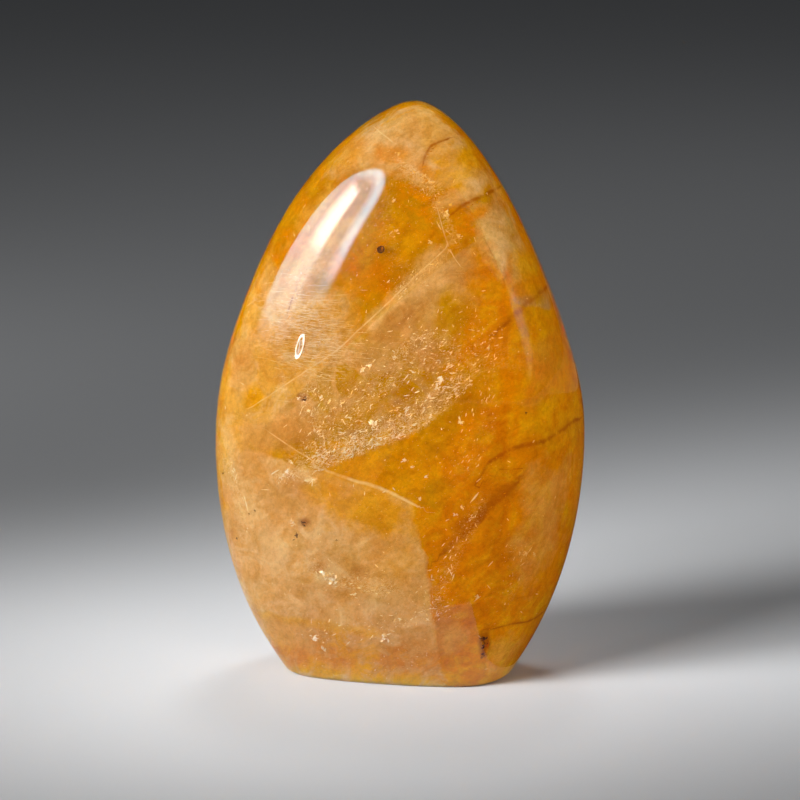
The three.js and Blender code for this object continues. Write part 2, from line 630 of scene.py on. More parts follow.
# Iron has stained the others.
STAINS = {
    "low": (
        0.60,
        (
            (46.5, 66.5), (42.8, 63.4), (39.7, 63.5), (33.1, 61.2),
            (27.1, 60.6), (21.7, 57.7), (17.5, 51.5),
        ),
    ),
    "low_end": (1.0, ((27.5, 52.5), (22.7, 47.9), (16.6, 41.1), (9.7, 33.8))),
    "high": (0.70, ((38.5, 95.5), (33.3, 94.9), (28.3, 92.8), (22.9, 88.0))),
    "tip": (0.50, ((25.0, 119.0), (19.6, 118.2), (15.6, 116.9), (12.0, 114.4))),
    "hook": (0.35, ((11.2, 131.0), (7.8, 130.4), (6.4, 128.8), (5.5, 125.8))),
    "foot": (0.28, ((20.8, 15.0), (26.0, 16.3), (30.4, 15.8), (35.0, 17.2))),
    "fleck": (0.22, ((-23.8, 97.3), (-24.8, 95.0), (-26.4, 90.5))),
}
# The silky patch: its middle, its two radii and its slope.
SILK = ((-22.0, 86.5), (11.5, 12.5), -4)
# The veils: their depths in millimetres, and turns that make their wisps differ.
VEILS = (
    ("veil_outer", 0.45, (0.4, 0.1, 0.3)),
    ("veil_inner", 0.95, (1.4, 0.8, 2.1)),
)
# The names of what the clouds and the veils store at each vertex for their materials.
FILM_REACH, STAIN_REACH, CROWD, VEIL_DENSITY = "film_reach", "stain_reach", "crowd", "density"
FLAKES_PER_AREA = 5.0  # flakes to a square millimetre where they lie thickest
CRISP_SIDE = 0.15  # how far a cluster spreads to the right of its line, for 1 to the left
FAR_AWAY, NEAR_BY = 1000.0, 4.0  # no line at all, and as far as a line shows, in mm
FRONT_DEPTH = 9 * MM  # how far the front stands out where its lines have their whole width
FOOT_HEIGHT = 7 * MM  # the clouds come up to the polish over this height at the foot
CRISP_UNTIL, SOFT_FROM = 4 * MM, 24 * MM  # how far in the zones' edges start and end softening
PATCH_DEPTH = 8 * MM  # how far in the patches have faded out
SWELL_SIZE, RIPPLE_SIZE = 14 * MM, 3 * MM  # the hollows of the clouds


def fracture_planes():
    return {name: (one.through(), one.upward()) for name, one in FRACTURES.items()}


def smooth_share(value):
    value = min(max(value, 0.0), 1.0)
    return value * value * (3 - 2 * value)


def zone_value(column, plan, place, planes):
    """A number of the zones at a place, mixed across the fractures."""
    if isinstance(plan, str):
        return ZONES[plan][column]
    fracture, upper, lower = plan
    through, upward = planes[fracture]
    share = smooth_share((place - through).dot(upward) / FRACTURES[fracture].blur + 0.5)
    value = 0.0
    if share > 0:
        value += share * zone_value(column, upper, place, planes)
    if share < 1:
        value += (1 - share) * zone_value(column, lower, place, planes)
    return value


def zone_colours(tree, plan, place, stray, crispness, waver, veins):
    """The colour of the cloud: the zones' colours, mixed across the fractures."""
    if isinstance(plan, str):
        deep, common, vein = (cloud_colour(name) for name in ZONES[plan][2:])
        return mix(tree, veins, mix(tree, waver, deep, common), vein)
    name, upper, lower = plan
    fracture = FRACTURES[name]
    distance = distance_from(tree, place, fracture.upward(), fracture.through())
    distance = calculate(tree, "MULTIPLY_ADD", stray, fracture.wander * 4, distance)
    distance = calculate(tree, "MULTIPLY", distance, crispness)
    share = mask(tree, distance, -fracture.blur / 2, fracture.blur / 2)
    upper = zone_colours(tree, upper, place, stray, crispness, waver, veins)
    lower = zone_colours(tree, lower, place, stray, crispness, waver, veins)
    return mix(tree, share, lower, upper)


def patch_share(tree, ragged, middle, radii, slope, strength, soft=0.8):
    """A strength in the middle of an oval patch, and 0 outside its ragged edge."""
    place = front_place(tree, slope, *(radius * MM for radius in radii), middle)
    reach = tree.nodes.new("ShaderNodeVectorMath")
    reach.operation = "LENGTH"
    tree.links.new(place, reach.inputs[0])
    reach = calculate(tree, "ADD", reach.outputs["Value"], ragged)
    return mask(tree, reach, 1.0 + soft / 2, 1.0 - soft / 2, strength)


def silk_colour(tree, colour, ragged):
    """The colour with pale silky streaks laid over it."""
    middle, radii, slope = SILK
    streaks = noise(tree, front_place(tree, slope, 11.0), 1900, 1, 0.5, 0.3)
    share = patch_share(tree, ragged, middle, radii, slope, 0.5, soft=0.7)
    share = product(tree, share, mask(tree, streaks, 0.42, 0.60))
    return mix(tree, share, colour, cloud_colour("haze"))


def line_colour(tree, colour, stray, name, line, strength, width=1.0):
    """The colour with the lines of an attribute laid over it, ragged and broken."""
    reach = calculate(tree, "MULTIPLY_ADD", stray, 3.0, stored_value(tree, name))
    share = mask(tree, calculate(tree, "ABSOLUTE", reach), 1.3 * width, 0.3 * width)
    gaps = noise(tree, own_place(tree, (0.7, 0.2, 0.1)), 260, detail=5, roughness=0.7)
    share = product(tree, share, mask(tree, gaps, 0.30, 0.58), strength)
    return mix(tree, share, colour, cloud_colour(line))


def sparkle_colour(tree, colour):
    """The colour with the flakes too small to model, thick in clusters: pale curls and fine flecks
    that are partly the flakes' own pale colour and partly painted glints, tinted honey on the
    right.
    """
    crowd = stored_value(tree, CROWD)
    curls = noise(tree, front_place(tree, 30, 2.2), 1100, 2, 0.6, 1.2)
    curls = calculate(tree, "ABSOLUTE", calculate(tree, "SUBTRACT", curls, 0.5))
    curls = product(tree, mask(tree, curls, 0.06, 0.01), mask(tree, crowd, 0.1, 0.8))
    glint_dust = noise(tree, front_place(tree, 30, 1.5), 2300, 2, 0.7, 0.8)
    glint_dust = mask(tree, calculate(tree, "MULTIPLY_ADD", crowd, 0.13, glint_dust), 0.67, 0.76)
    share = product(tree, calculate(tree, "MAXIMUM", curls, glint_dust), 0.7)
    aside = distance_from(tree, own_place(tree), ACROSS)
    aside = mask(tree, aside, 0.0, 15 * MM)
    tint = mix(tree, aside, cloud_colour("haze"), cloud_colour("honey"))
    return mix(tree, share, colour, tint)


def offset_from(place, line):
    """How far a place is from a line, with a sign for its side, and how far along it is."""
    nearest, along = FAR_AWAY, 0.0
    for step, (first, second) in enumerate(zip(line, line[1:])):
        way = second - first
        share = min(max((place - first).dot(way) / way.length_squared, 0.0), 1.0)
        offset = place - first - way * share
        if offset.length < abs(nearest):
            nearest = math.copysign(offset.length, way.cross(offset))
            along = (step + share) / (len(line) - 1)
    return nearest, along


def smooth_line(points):
    steps = 5 * (len(points) - 1)
    return [smooth_path(points, step / steps).to_2d() for step in range(steps + 1)]


def front_places(piece):
    """The vertices on the front: their places in millimetres across and up, and a share
    that falls to nothing where the front turns into the sides."""
    return [
        (
            vertex.index,
            Vector((vertex.co.dot(ACROSS), vertex.co.z)) / MM,
            smooth_share(-vertex.co.dot(INTO) / FRONT_DEPTH),
        )
        for vertex in piece.data.vertices
        if vertex.co.dot(INTO) < 0
    ]


def distances_to(line, places, margin):
    """The vertices within a margin of a line, with their shares and offsets from it."""
    low = Vector([min(axis) - margin for axis in zip(*line)])
    high = Vector([max(axis) + margin for axis in zip(*line)])
    for index, place, front in places:
        if low.x < place.x < high.x and low.y < place.y < high.y:
            yield index, front, *offset_from(place, line)


def mark_lines(piece, name, lines, places):
    """Stores how many half widths each vertex is from the nearest of some lines."""
    reaches = piece.data.attributes.new(name, "FLOAT", "POINT").data
    for reach in reaches:
        reach.value = FAR_AWAY
    for half_width, points in lines.values():
        line = smooth_line(points)
        for index, front, distance, along in distances_to(line, places, NEAR_BY):
            taper = 0.25 + 1.5 * math.sqrt(along * (1 - along))
            reach = distance / (half_width * taper * max(front, 0.01))
            if abs(reach) < abs(reaches[index].value):
                reaches[index].value = reach


def mark_crowds(piece, places):
    """Stores how thickly the flakes lie at each vertex."""
    crowds = piece.data.attributes.new(CROWD, "FLOAT", "POINT").data
    for points, spread, count, *_ in CLUSTERS.values():
        line = smooth_line(points)
        length = sum((second - first).length for first, second in zip(line, line[1:]))
        thick = min(count / (length * spread * FLAKES_PER_AREA), 1.0)
        for index, _, distance, _ in distances_to(line, places, 3 * spread):
            reach = spread if distance > 0 else CRISP_SIDE * spread
            crowd = thick * math.exp(-0.5 * (distance / reach) ** 2)
            crowds[index].value = max(crowds[index].value, crowd)


def painted_rim_glow(tree, colour, place, stray):
    """Painted rim glow: where the cloud turns side-on to the front, its colour deepens to golden on
    the left and amber on the right, standing in for light that glows through the quartz at the rim.
    """
    facing = tree.nodes.new("ShaderNodeTexCoord").outputs["Normal"]
    rim = calculate(tree, "ABSOLUTE", distance_from(tree, facing, INTO))
    rim = calculate(tree, "ADD", rim, stray)
    aside = mask(tree, distance_from(tree, place, ACROSS), -20 * MM, 20 * MM)
    deep = mix(tree, aside, cloud_colour("golden"), cloud_colour("amber"))
    return mix(tree, mask(tree, rim, 0.34, 0.08), colour, deep)


def facets(tree, place, scale):
    """A random value for each cell of a crazing of flat-sided cells."""
    cells = add_node(tree, "ShaderNodeTexVoronoi", Scale=scale)
    tree.links.new(place, cells.inputs["Vector"])
    parts = tree.nodes.new("ShaderNodeSeparateXYZ")
    tree.links.new(cells.outputs["Color"], parts.inputs["Vector"])
    return parts.outputs["X"]


def grain_shades(tree, place):
    """The shades of mottling, large and small facets, short strokes and fine grain."""
    mottle = noise(tree, own_place(tree, (0.9, 0.2, 0.7)), 200, 5, 0.62, 1.2)
    slanted = front_place(tree, 38, 1.8)
    strokes = noise(tree, front_place(tree, 38, 5.0), 900, 4, 0.6, 0.4)
    grain = noise(tree, place, 1500, 3, 0.7)
    return (
        ramp(tree, mottle, (0.42, WHITE), (0.66, (0.90, 0.78, 0.58))),
        ramp(tree, facets(tree, slanted, 170), (0.0, (0.93, 0.88, 0.80)), (0.8, WHITE)),
        ramp(tree, facets(tree, slanted, 620), (0.0, (0.93, 0.89, 0.82)), (0.7, WHITE)),
        ramp(tree, strokes, (0.34, (0.92, 0.88, 0.80)), (0.56, WHITE)),
        ramp(tree, grain, (0.36, (0.88, 0.88, 0.88)), (0.56, WHITE)),
    )


def cloud_material():
    material, tree = new_material("golden_cloud")
    place = own_place(tree)
    inward = distance_from(tree, place, INTO)
    stray = calculate(tree, "SUBTRACT", noise(tree, place, 130, detail=5, roughness=0.6), 0.5)
    broad = noise(tree, place, 80, detail=5, roughness=0.58, distortion=0.9)
    wisps = noise(tree, own_place(tree, (0.3, 0.5, 0.2)), 130, 5, 0.6, 1.6)
    waver = mask(tree, broad, 0.40, 0.56)
    veins = mask(tree, wisps, 0.47, 0.64)
    crispness = mask(tree, inward, SOFT_FROM, CRISP_UNTIL)
    crispness = calculate(tree, "MULTIPLY_ADD", crispness, 0.9, 0.1)
    colour = zone_colours(tree, ZONE_PLAN, place, stray, crispness, waver, veins)
    fade = mask(tree, inward, 0.0, PATCH_DEPTH, full=3.0)
    ragged = calculate(tree, "MULTIPLY_ADD", stray, 3.0, fade)
    for middle, radii, slope, name, strength in PATCHES.values():
        share = patch_share(tree, ragged, middle, radii, slope, strength)
        colour = mix(tree, share, colour, cloud_colour(name))
    colour = silk_colour(tree, colour, ragged)
    # Painted rim glow where the cloud turns side-on to the front.
    colour = painted_rim_glow(tree, colour, place, stray)
    colour = shaded(tree, colour, *grain_shades(tree, place))
    colour = line_colour(tree, colour, stray, STAIN_REACH, "rust", 0.3, width=3.0)
    colour = line_colour(tree, colour, stray, STAIN_REACH, "rust", 0.9)
    colour = line_colour(tree, colour, stray, FILM_REACH, "haze", 0.75)
    colour = sparkle_colour(tree, colour)
    set_finish(tree, colour, 0.9, gloss=0.0)
    inputs = shader_inputs(tree)
    inputs["Subsurface Weight"].default_value = 1.0
    inputs["Subsurface Radius"].default_value = (1.0, 0.8, 0.6)
    inputs["Subsurface Scale"].default_value = settings().cloud.glow
    return material


def veil_material(name, turn):
    """A pale haze, whose density is the mesh's own attribute broken up into wisps."""
    material, tree = new_material(name)
    place = own_place(tree, turn)
    soft = noise(tree, place, 90, detail=3, roughness=0.6, distortion=1.2)
    wisps = noise(tree, own_place(tree, turn, (1, 0.6, 0.4)), 260, 3, 0.6, 2.0)
    soft = mask(tree, soft, 0.42, 0.75, full=0.55)
    wisps = mask(tree, wisps, 0.5, 0.8, full=0.6)
    haze = product(tree, calculate(tree, "ADD", soft, wisps), stored_value(tree, VEIL_DENSITY))
    feed(tree, shader_inputs(tree)["Alpha"], haze)
    set_finish(tree, cloud_colour("haze"), 0.9, gloss=0.0)
    return material


def weigh_vertices(piece, name, weight_at):
    """Makes a vertex group whose weights come from the vertices' places."""
    group = piece.vertex_groups.new(name=name)
    for vertex in piece.data.vertices:
        group.add([vertex.index], weight_at(vertex.co), "REPLACE")
    return group.name


def hollow(piece, name, size, depth, group):
    """Presses soft hollows into a piece, where its vertex group is heavy."""
    texture = bpy.data.textures.new(name, "CLOUDS")
    texture.noise_scale = size
    texture.noise_depth = 2
    apply_modifier(
        piece,
        "DISPLACE",
        texture=texture,
        texture_coords="LOCAL",
        strength=depth,
        mid_level=1.0,
        vertex_group=group,
    )


class QUARTZ_OT_clouds(bpy.types.Operator):
    """The clouds in the stone, which lie at their own depth in each zone"""

    bl_idname = "quartz.clouds"
    bl_label = "Clouds"

    def execute(self, context):
        values = settings().cloud
        cloud = copy_of_stone("cloud")
        with editing(cloud):
            bpy.ops.transform.shrink_fatten(value=-values.clear_layer)
        apply_subdivision(cloud, 2)
        planes = fracture_planes()
        deepest = max(zone[DEPTH] for zone in ZONES.values()) * MM

        def free(place):
            return smooth_share(place.z / FOOT_HEIGHT)

        def depth_share(place):
            return free(place) * zone_value(DEPTH, ZONE_PLAN, place, planes) * MM / deepest

        sunk = weigh_vertices(cloud, "sunk", depth_share)
        soft = weigh_vertices(cloud, "soft", free)
        apply_modifier(cloud, "DISPLACE", strength=-deepest, mid_level=0.0, vertex_group=sunk)
        hollow(cloud, "cloud_swell", SWELL_SIZE, values.swell, soft)
        hollow(cloud, "cloud_ripple", RIPPLE_SIZE, values.ripple, soft)
        shade_smooth(cloud, 60)
        places = front_places(cloud)
        mark_lines(cloud, FILM_REACH, FILMS, places)
        mark_lines(cloud, STAIN_REACH, STAINS, places)
        mark_crowds(cloud, places)
        seal_in(cloud, cloud_material())
        return {"FINISHED"}


class QUARTZ_OT_veils(bpy.types.Operator):
    """Thin veils of haze between the polish and the clouds"""

    bl_idname = "quartz.veils"
    bl_label = "Veils of haze"

    def execute(self, context):
        planes = fracture_planes()
        for name, depth, turn in VEILS:
            veil = copy_of_stone(name)
            with editing(veil):
                bpy.ops.transform.shrink_fatten(value=-depth * MM)
            apply_subdivision(veil, 1)
            density = veil.data.attributes.new(VEIL_DENSITY, "FLOAT", "POINT")
            for vertex, value in zip(veil.data.vertices, density.data):
                value.value = zone_value(DENSITY, ZONE_PLAN, vertex.co, planes)
            select_only(veil)
            bpy.ops.object.shade_smooth()
            seal_in(veil, veil_material(name, turn))
            veil.visible_shadow = False
        return {"FINISHED"}


# ---------------------------------------------------------------- flakes and fibres


def flake_shape(seed):
    """The corners and faces of one ragged sliver, about 1 long and 1 wide, 0.1 thick."""
    chance = random.Random(seed)
    bpy.ops.object.select_all(action="DESELECT")
    bpy.ops.mesh.primitive_grid_add(x_subdivisions=4, y_subdivisions=1, size=1)
    flake = bpy.context.object
    bend = chance.uniform(-0.3, 0.3)
    curl = chance.uniform(-0.2, 0.2)
    for vertex in flake.data.vertices:
        end = 4 * vertex.co.x**2
        taper = (1 - 0.8 * end) * chance.uniform(0.4, 1.0)
        vertex.co.x += chance.uniform(-0.08, 0.08)
        vertex.co.y = vertex.co.y * taper + bend * (end - 0.5) * 0.5
        vertex.co.z = curl * end
    apply_modifier(flake, "SOLIDIFY", thickness=0.1, offset=0.0)
    corners = [vertex.co.copy() for vertex in flake.data.vertices]
    faces = [tuple(face.vertices) for face in flake.data.polygons]
    bpy.data.objects.remove(flake)
    return corners, faces


def join_copies(name, shapes, places):
    """One piece of many copies: each place is a matrix, and the shapes take turns."""
    corners, faces = [], []
    for turn, place in enumerate(places):
        shape_corners, shape_faces = shapes[turn % len(shapes)]
        first = len(corners)
        corners += [place @ corner for corner in shape_corners]
        faces += [tuple(first + index for index in face) for face in shape_faces]
    mesh = bpy.data.meshes.new(name)
    mesh.from_pydata(corners, [], faces)
    mesh.update()
    piece = bpy.data.objects.new(name, mesh)
    bpy.context.scene.collection.objects.link(piece)
    return piece


def flake_place(chance, point, way_in, along, length, width, thickness, tilt=0.0):
    """A matrix that lays a flake at a point, facing out and lying along a direction."""
    facing = -way_in
    if tilt:
        facing = facing + Vector([chance.gauss(0, tilt) for _ in range(3)])
    facing.normalize()
    long_side = (along - facing * along.dot(facing)).normalized()
    across = facing.cross(long_side)
    turn = Matrix((long_side, across, facing)).transposed().to_4x4()
    size = Matrix.Diagonal((length, width, thickness * 10, 1.0))
    return Matrix.Translation(point) @ turn @ size


def slope_direction(degrees):
    slope = math.radians(degrees)
    return ACROSS * math.cos(slope) + UP * math.sin(slope)


# Where flakes lie thickly on the front. Each cluster has the line along its middle, in
# millimetres across and up, its spread to each side, how many flakes it has, how long
# they are at most, and the slope that they lie along.
CLUSTERS = {
    "band": (((-20, 54), (-13, 57.5), (-5.9, 60.8), (5.9, 66.5), (16.5, 76.1)), 4.2, 1400, 1.7, 32),
    "band_high": (((-12, 66), (0, 76), (12, 80), (22, 79)), 6.0, 520, 1.5, 32),
    "grey_left": (((-22, 74), (-23, 68), (-19, 62)), 4.0, 160, 1.4, 60),
    "grey_top": (((14, 84), (6, 88), (0, 84)), 2.0, 130, 1.4, 20),
    "tip_high": (((10, 121), (6, 123), (2, 126)), 2.4, 90, 1.4, -40),
    "tip_low": (((14, 109), (12, 113), (10, 117)), 2.0, 60, 1.4, -40),
    "comb": (((7, 102), (0, 105), (-2, 116), (-1, 126)), 4.0, 110, 1.2, 40),
    "grey_line": (((0, 96), (4, 100), (10, 104)), 1.2, 60, 1.4, 42),
    "column_high": (((17, 54), (22, 66), (21, 80), (17, 96)), 5.0, 260, 1.2, 55),
    "column_low": (((9, 20), (12, 28), (20, 46)), 3.0, 170, 1.4, 60),
    "knot": (((-21, 52), (-26, 53), (-29, 52)), 1.2, 120, 2.0, 35),
    "milk_knot": (((-20, 27), (-15, 25), (-3, 24)), 3.0, 220, 1.2, 15),
    "foot_band": (((-22, 10), (-8, 12), (2, 16), (12, 18)), 3.6, 200, 1.4, 40),
    "sole": (((-24, 3), (-6, 3), (10, 8)), 4.0, 70, 1.2, 50),
    "flank": (((26, 22), (30, 33), (28, 38)), 2.0, 60, 1.4, 50),
    "left_edge": (((-37, 38), (-38, 46), (-41, 54)), 1.2, 60, 1.6, 100),
}
SPARSE_FLAKES = 900
SILK_FIBRES = 420
THIN, THICK = 0.03 * MM, 0.05 * MM  # the scattered flakes, and the large ones

# Knots of bright flakes: place in millimetres across and up, and how wide each is.
KNOTS = (
    ((7.1, 122.5), 1.4), ((5.9, 124.1), 0.8), ((11.8, 117.4), 0.8), ((10.8, 115.4), 1.6),
    ((13.9, 110.4), 1.0), ((7.1, 108.9), 1.1), ((-1.4, 118.1), 0.9), ((-0.9, 111.3), 1.1),
    ((-0.6, 128.8), 1.0), ((20.7, 119.4), 0.7), ((-8.8, 78.9), 2.0), ((-7.1, 79.9), 1.0),
    ((9.4, 77.2), 1.8), ((8.6, 75.4), 1.6), ((-1.4, 82.2), 1.0), ((-18.9, 71.8), 0.9),
    ((-21.9, 68.3), 0.9), ((-6.5, 66.3), 1.6), ((14.4, 67.2), 1.6), ((1.0, 57.9), 0.9),
    ((3.0, 56.2), 0.8), ((6.2, 53.9), 0.7), ((4.7, 48.6), 0.7), ((14.8, 46.7), 1.0),
    ((13.3, 44.8), 0.9), ((-25.7, 40.6), 1.6), ((-18.0, 28.1), 2.4), ((-16.2, 26.3), 2.0),
    ((-11.0, 23.5), 1.2), ((-20.5, 11.0), 1.4), ((-18.7, 8.5), 1.2), ((-3.6, 12.9), 1.6),
    ((0.0, 17.8), 0.9), ((6.6, 18.0), 0.8), ((18.5, 24.0), 1.1), ((32.2, 33.7), 1.0),
    ((30.0, 34.4), 0.9), ((-26.2, 55.6), 1.0), ((-40.2, 51.7), 1.0), ((-24.1, 71.0), 0.8),
)
FLAKES_PER_KNOT = 12

# The longest flakes: place and length in millimetres, and slope.
LONG_FLAKES = (
    ((1.4, 77.5), 2.0, 50), ((1.2, 81.7), 1.2, 10), ((17.7, 49.1), 3.2, 52),
    ((18.6, 53.2), 1.6, 40), ((-12.6, 10.5), 1.8, 50), ((11.9, 30.5), 2.4, 118),
    ((12.6, 29.0), 1.8, 70), ((18.5, 23.6), 2.0, 40), ((21.6, 32.5), 1.8, 48),
    ((-29.9, 52.6), 3.0, 30), ((-27.4, 52.8), 3.2, 48), ((-37.2, 43.8), 4.2, 108),
    ((-39.6, 50.0), 2.2, 60), ((-32.4, 47.9), 2.0, 10), ((9.2, 112.6), 2.4, -62),
    ((0.7, 57.5), 1.4, 20), ((31.0, 35.0), 2.4, 40), ((-23.6, 68.0), 2.2, 70),
    ((-24.3, 82.0), 2.6, 70), ((-23.9, 83.8), 3.0, 84), ((-23.5, 85.9), 1.6, 60),
    ((-24.5, 80.9), 1.4, 40), ((-23.2, 84.6), 2.0, 72),
)


def scattered_flake(chance, point, way_in, along, longest):
    """A flake of a chance size at a chance depth: most are much shorter than the longest."""
    depth = chance.uniform(0.2, 0.9) * MM
    length = longest * (0.12 + 0.88 * chance.random() ** 7) * MM
    width = min(length * chance.uniform(0.3, 0.9), 0.3 * MM)
    return flake_place(chance, point + way_in * depth, way_in, along, length, width, THIN, 0.4)


def cluster_flakes(chance, line, spread, count, longest, slope):
    """Flakes along a line of the front, which thin out to its left."""
    places = []
    while len(places) < count:
        share = chance.random()
        middle = smooth_path(line, share)
        way = (smooth_path(line, share + 0.01) - middle).normalized()
        off = abs(chance.gauss(0, spread)) - CRISP_SIDE * chance.random() * spread
        middle += Vector((-way.y, way.x)) * off + way * chance.gauss(0, 1)
        found = surface_behind(middle)
        if found is None:
            continue
        along = slope_direction(slope + chance.gauss(0, 30))
        places.append(scattered_flake(chance, *found, along, longest))
    return places


def sparse_flakes(chance, count):
    """Flakes all round the stone."""
    places = []
    for _ in range(count):
        bearing = chance.uniform(0, 2 * math.pi)
        outward = Vector((math.sin(bearing), -math.cos(bearing), 0))
        height = UP * chance.uniform(4, 132) * MM
        found = surface_along(height + outward * OUTSIDE, -outward)
        along = Vector([chance.gauss(0, 1) for _ in range(3)])
        places.append(scattered_flake(chance, *found, along, 1.4))
    return places


def bunch(chance, place, depth, size, count):
    """Short flakes bunched at a place on the front, as wide as its size in all."""
    point, way_in = surface_at(place)
    places = []
    for _ in range(count):
        aside = ACROSS * chance.gauss(0, 0.24 * size) + UP * chance.gauss(0, 0.24 * size)
        inward = way_in * (depth + chance.uniform(-0.1, 0.2) * size)
        along = slope_direction(chance.uniform(0, 180))
        length = size * chance.uniform(0.25, 0.7) * MM
        width = length * chance.uniform(0.3, 0.8)
        middle = point + (aside + inward) * MM
        places.append(flake_place(chance, middle, way_in, along, length, width, THICK, 0.4))
    return places


def long_flakes(chance):
    places = []
    for place, length, slope in LONG_FLAKES:
        point, way_in = surface_at(place)
        middle = point + way_in * 0.3 * MM
        sizes = (length * MM, length * 0.16 * MM, THICK)
        along = slope_direction(slope)
        places.append(flake_place(chance, middle, way_in, along, *sizes, 0.1))
    return places


# The flakes' near-white, and the yellow they take high up and to the right, are partly their own
# pale colour and partly painted glints.
def flake_material():
    material, tree = new_material("bright_flake")
    place = own_place(tree)
    grain = noise(tree, place, 1000, detail=2, roughness=0.6)
    dark, middle, bright = (0.97, 0.72, 0.34), (0.99, 0.85, 0.62), (1.0, 0.95, 0.88)
    colour = ramp(tree, grain, (0.36, dark), (0.46, middle), (0.54, bright))
    upper = mask(tree, distance_from(tree, place, UP), 98 * MM, 106 * MM)
    right = mask(tree, distance_from(tree, place, ACROSS), 4 * MM, 18 * MM)
    golden = product(tree, calculate(tree, "MAXIMUM", upper, right), 0.6)
    colour = mix(tree, golden, colour, cloud_colour("yellow"))
    set_finish(tree, colour, 0.4, gloss=0.2)
    return material


def patchy_material(name, scale, dark, light, roughness, gloss):
    """Dark and light patches, each given as the level that it starts at and its colour."""
    material, tree = new_material(name)
    patches = noise(tree, own_place(tree), scale, detail=3)
    set_finish(tree, ramp(tree, patches, dark, light), roughness, gloss)
    return material


def rust_material():
    rust, amber = cloud_colour("rust"), cloud_colour("amber")
    return patchy_material("iron_rust", 500, (0.4, rust), (0.6, amber), 0.8, gloss=0.0)


class QUARTZ_OT_flakes(bpy.types.Operator):
    """The small bright flakes, in clusters on the front and sparse all round"""

    bl_idname = "quartz.flakes"
    bl_label = "Bright flakes"

    def execute(self, context):
        chance = random.Random(11)
        shapes = [flake_shape(seed) for seed in range(6)]
        material = flake_material()
        for name, cluster in CLUSTERS.items():
            piece = join_copies(f"flakes_{name}", shapes, cluster_flakes(chance, *cluster))
            seal_in(piece, material)
        piece = join_copies("flakes_sparse", shapes, sparse_flakes(chance, SPARSE_FLAKES))
        seal_in(piece, material)
        places = long_flakes(chance)
        for place, size in KNOTS:
            places += bunch(chance, place, 0.3, size, FLAKES_PER_KNOT)
        piece = join_copies("flakes_large", shapes, places)
        seal_in(piece, material)
        return {"FINISHED"}


class QUARTZ_OT_rust(bpy.types.Operator):
    """The flecks of iron along the stained fractures"""

    bl_idname = "quartz.rust"
    bl_label = "Iron flecks"

    def execute(self, context):
        chance = random.Random(17)
        shapes = [flake_shape(seed) for seed in (30, 31, 32)]
        places = []
        for half_width, points in STAINS.values():
            count = 8 * len(points)
            places += cluster_flakes(chance, points, half_width, count, 1.2, 20)
        seal_in(join_copies("iron_flecks", shapes, places), rust_material())
        return {"FINISHED"}


class QUARTZ_OT_silk(bpy.types.Operator):
    """The silky fibres on the left of the front"""

    bl_idname = "quartz.silk"
    bl_label = "Silky fibres"

    def execute(self, context):
        chance = random.Random(5)
        shapes = [flake_shape(seed) for seed in (20, 21, 22)]
        places = []
        middle, radii, slope = SILK
        for _ in range(SILK_FIBRES):
            place = [at + chance.gauss(0, radius * 0.42) for at, radius in zip(middle, radii)]
            point, way_in = surface_at(place)
            along = slope_direction(slope + chance.gauss(0, 6))
            sizes = (chance.uniform(1.5, 5.0) * MM, 0.07 * MM, THICK)
            point += way_in * chance.uniform(0.35, 1.0) * MM
            places.append(flake_place(chance, point, way_in, along, *sizes, 0.1))
        seal_in(join_copies("silk", shapes, places), flake_material())
        return {"FINISHED"}


# ---------------------------------------------------------------- specks

# Dark mineral specks: places in millimetres across and up, depth and diameter.
SPECKS = (
    ((-22.8, 70.9), 0.8, 1.4),
    ((-25.1, 37.3), 0.8, 1.4),
    ((-23.2, 40.5), 0.8, 1.2),
    ((-35.1, 42.2), 0.6, 0.6),
    ((-36.6, 41.2), 0.6, 0.5),
    ((-39.7, 34.2), 0.6, 0.6),
    ((-43.0, 50.3), 0.5, 0.6),
    ((-15.3, 37.0), 0.7, 0.6),
    ((30.0, 69.0), 0.6, 0.6),
    ((20.2, 12.8), 0.8, 1.8),
    ((20.5, 10.8), 0.8, 1.6),
    ((19.8, 8.2), 0.9, 1.2),
)
# Rings: place, depth, length, width, thickness and the slope that they lie along.
MINERAL_RING = ((-4.5, 106.9), 0.3, 1.1, 0.9, 0.40, 60)
# The bright ring is a painted glint: a pale ring where a small bright reflection shows on the
# front.
GLINT_RING = ((-23.8, 83.4), 0.15, 5.4, 1.7, 0.30, 76)

RAGGED_RING = 0.09  # how far a ring's corners stray, as a share of its size


def speck_material():
    black, brown = (0.08, 0.022, 0.005), (0.50, 0.16, 0.012)
    return patchy_material("dark_speck", 1200, (0.5, black), (0.7, brown), 0.6, gloss=0.2)


def glint_material():
    """A pale white for the painted glint of the bright ring."""
    material, tree = new_material("trapped_air")
    set_finish(tree, cloud_colour("haze"), 0.3)
    return material


def small_ring(chance, name, place, depth, length, width, thickness, slope):
    """A flattened and ragged ring that faces out of the front."""
    point, way_in = surface_at(place)
    bpy.ops.object.select_all(action="DESELECT")
    bpy.ops.mesh.primitive_torus_add(
        major_radius=0.5,
        minor_radius=thickness / (length + width) * 2,
        major_segments=20,
        minor_segments=6,
    )
    ring = bpy.context.object
    ring.name = name
    ring.data.name = name
    for vertex in ring.data.vertices:
        vertex.co *= 1 + chance.uniform(-RAGGED_RING, RAGGED_RING)
    middle = point + way_in * depth * MM
    sizes = (length * MM, width * MM, thickness * MM)
    ring.data.transform(flake_place(None, middle, way_in, slope_direction(slope), *sizes))
    return ring


